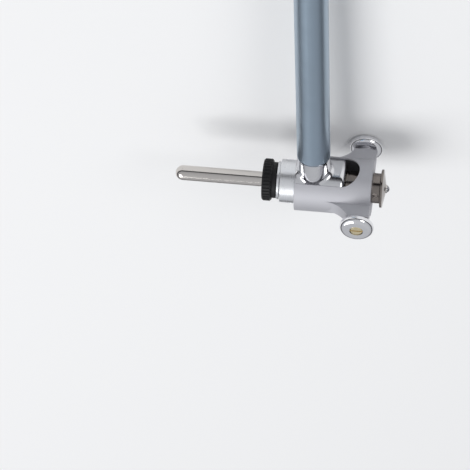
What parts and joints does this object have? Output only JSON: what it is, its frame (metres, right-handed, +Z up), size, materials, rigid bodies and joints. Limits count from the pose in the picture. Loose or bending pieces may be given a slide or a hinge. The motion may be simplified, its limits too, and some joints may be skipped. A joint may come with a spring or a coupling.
{
  "type": "dial bore gauge",
  "caption": "Two-point bore gauge with a sliding contact, fixed anvil, sprung centring bridge with wheels, push rod tube, handle and a clamped digital indicator.",
  "frame": {"origin": "centre of the bounding box on the plane that the gauge lies on", "axes": "+Y runs from the measuring head to the indicator, +Z is up out of the display, +X is the side of the moving contact"},
  "size_m": [0.0794, 0.3622, 0.0399],
  "materials": {
    "chrome": "polished chrome plate",
    "collar": "turned, fine rings",
    "black_nut": "black oxide, fluted rim",
    "hard_steel": "ground and polished",
    "spring": "drawn wire",
    "nickel": "polished, warm nickel",
    "brass": "turned",
    "tube": "satin, drawn along its length",
    "grip": "matt black",
    "carbide": "lapped carbide",
    "bridge": "bead-blasted satin",
    "gold_screw": "turned",
    "wheel": "polished",
    "knob": "moulded, satin",
    "bezel": "moulded, satin",
    "shell": "satin",
    "cover": "satin",
    "face_plate": "satin champagne",
    "clear_window": "clear",
    "display": "grey-green liquid crystal",
    "board": "solder mask",
    "port_cover": "moulded",
    "battery": "pressed can",
    "cap": "moulded, satin",
    "button": "moulded"
  },
  "bodies": {
    "gauge": {"head_body": "chrome", "anvil_collar": "collar", "anvil_washer": "chrome", "anvil_rod": "hard_steel", "bridge_springs": "spring", "bridge_stop_screw": "hard_steel", "contact_guide": "nickel", "contact_cap_nut": "nickel", "rocker_pin": "hard_steel", "rod_guide_lower": "brass", "rod_guide_upper": "brass", "rod_spring": "spring", "tube": "tube", "handle": "grip", "stem_holder": "chrome"},
    "contact": {"contact_plunger": "hard_steel", "contact_ball": "carbide"},
    "bell_crank": {"rocker": "hard_steel"},
    "rod": {"push_rod": "hard_steel"},
    "bridge": {"centering_bridge": "bridge", "wheel_screw_front": "gold_screw", "wheel_screw_back": "gold_screw"},
    "front_wheel": {"wheel_front": "wheel"},
    "back_wheel": {"wheel_back": "wheel"},
    "lock_nut": {"anvil_lock_nut": "black_nut"},
    "clamp": {"clamp_screw": "hard_steel", "clamp_knob": "knob"},
    "indicator": {"indicator_stem": "chrome", "indicator_bezel": "bezel", "indicator_shell": "shell", "indicator_back_cover": "cover", "cover_screws": "hard_steel", "face_plate": "face_plate", "display_window": "clear_window", "display_panel": "display", "circuit_board": "board", "switch_domes": "spring", "port_cover": "port_cover", "battery": "battery", "battery_clip": "spring", "spindle_bush": "chrome", "spindle_spring": "spring", "top_cap": "cap"},
    "indicator_spindle": {"spindle": "hard_steel", "spindle_tip": "hard_steel", "spindle_slider": "collar", "scale_strip": "board"},
    "unit_button": {"button_unit": "button"},
    "power_button": {"button_power": "button"},
    "zero_button": {"button_zero": "button"}
  },
  "joints": [
    {"name": "contact_slide", "type": "slide", "parent": "gauge", "child": "contact", "axis": [-1, 0, 0], "range_m": [0, 0.0014], "stiffness_N_per_m": 500, "springref_m": -0.003},
    {"name": "rocker_turn", "type": "hinge", "parent": "gauge", "child": "bell_crank", "pos_m": [0.01525, -0.16634, 0.01978], "axis": [0, -0.0399, -0.9992], "range_deg": [0, 18.33]},
    {"name": "rod_lift", "type": "slide", "parent": "gauge", "child": "rod", "axis": [0, 0.9992, -0.0399], "range_m": [0, 0.00145], "deforming": ["rod_spring"]},
    {"name": "bridge_slide", "type": "slide", "parent": "gauge", "child": "bridge", "axis": [-1, 0, 0], "range_m": [0, 0.004], "stiffness_N_per_m": 900, "springref_m": -0.004, "deforming": ["bridge_springs"]},
    {"name": "wheel_front_spin", "type": "hinge", "parent": "bridge", "child": "front_wheel", "pos_m": [0.028, -0.17012, 0.03784], "axis": [0, 0.0399, 0.9992], "continuous": true},
    {"name": "wheel_back_spin", "type": "hinge", "parent": "bridge", "child": "back_wheel", "pos_m": [0.028, -0.17155, 0.00207], "axis": [0, -0.0399, -0.9992], "continuous": true},
    {"name": "nut_turn", "type": "hinge", "parent": "gauge", "child": "lock_nut", "pos_m": [-0.00525, -0.17083, 0.01996], "axis": [-1, 0, 0], "range_deg": [0, 180]},
    {"name": "clamp_turn", "type": "hinge", "parent": "gauge", "child": "clamp", "pos_m": [0.01075, 0.09386, 0.00939], "axis": [-0.6018, 0.0318, 0.798], "range_deg": [0, 270]},
    {"name": "indicator_swivel", "type": "hinge", "parent": "gauge", "child": "indicator", "pos_m": [0.01075, 0.12953, 0.00797], "axis": [0, 0.9992, -0.0399], "range_deg": [-180, 180]},
    {"name": "spindle_lift", "type": "slide", "parent": "indicator", "child": "indicator_spindle", "axis": [0, 0.9992, -0.0399], "range_m": [0, 0.00145], "deforming": ["spindle_spring"]},
    {"name": "unit_press", "type": "slide", "parent": "indicator", "child": "unit_button", "axis": [0, -0.0399, -0.9992], "range_m": [0, 0.0005], "stiffness_N_per_m": 400, "springref_m": -0.0008},
    {"name": "power_press", "type": "slide", "parent": "indicator", "child": "power_button", "axis": [0, -0.0399, -0.9992], "range_m": [0, 0.0005], "stiffness_N_per_m": 400, "springref_m": -0.0008},
    {"name": "zero_press", "type": "slide", "parent": "indicator", "child": "zero_button", "axis": [0, -0.0399, -0.9992], "range_m": [0, 0.0005], "stiffness_N_per_m": 400, "springref_m": -0.0008}
  ],
  "couplings": [
    {"joint": "rocker_turn", "follows": "contact_slide", "rad_per_m": 222.22},
    {"joint": "rod_lift", "follows": "contact_slide", "ratio": 1},
    {"joint": "spindle_lift", "follows": "contact_slide", "ratio": 1}
  ]
}
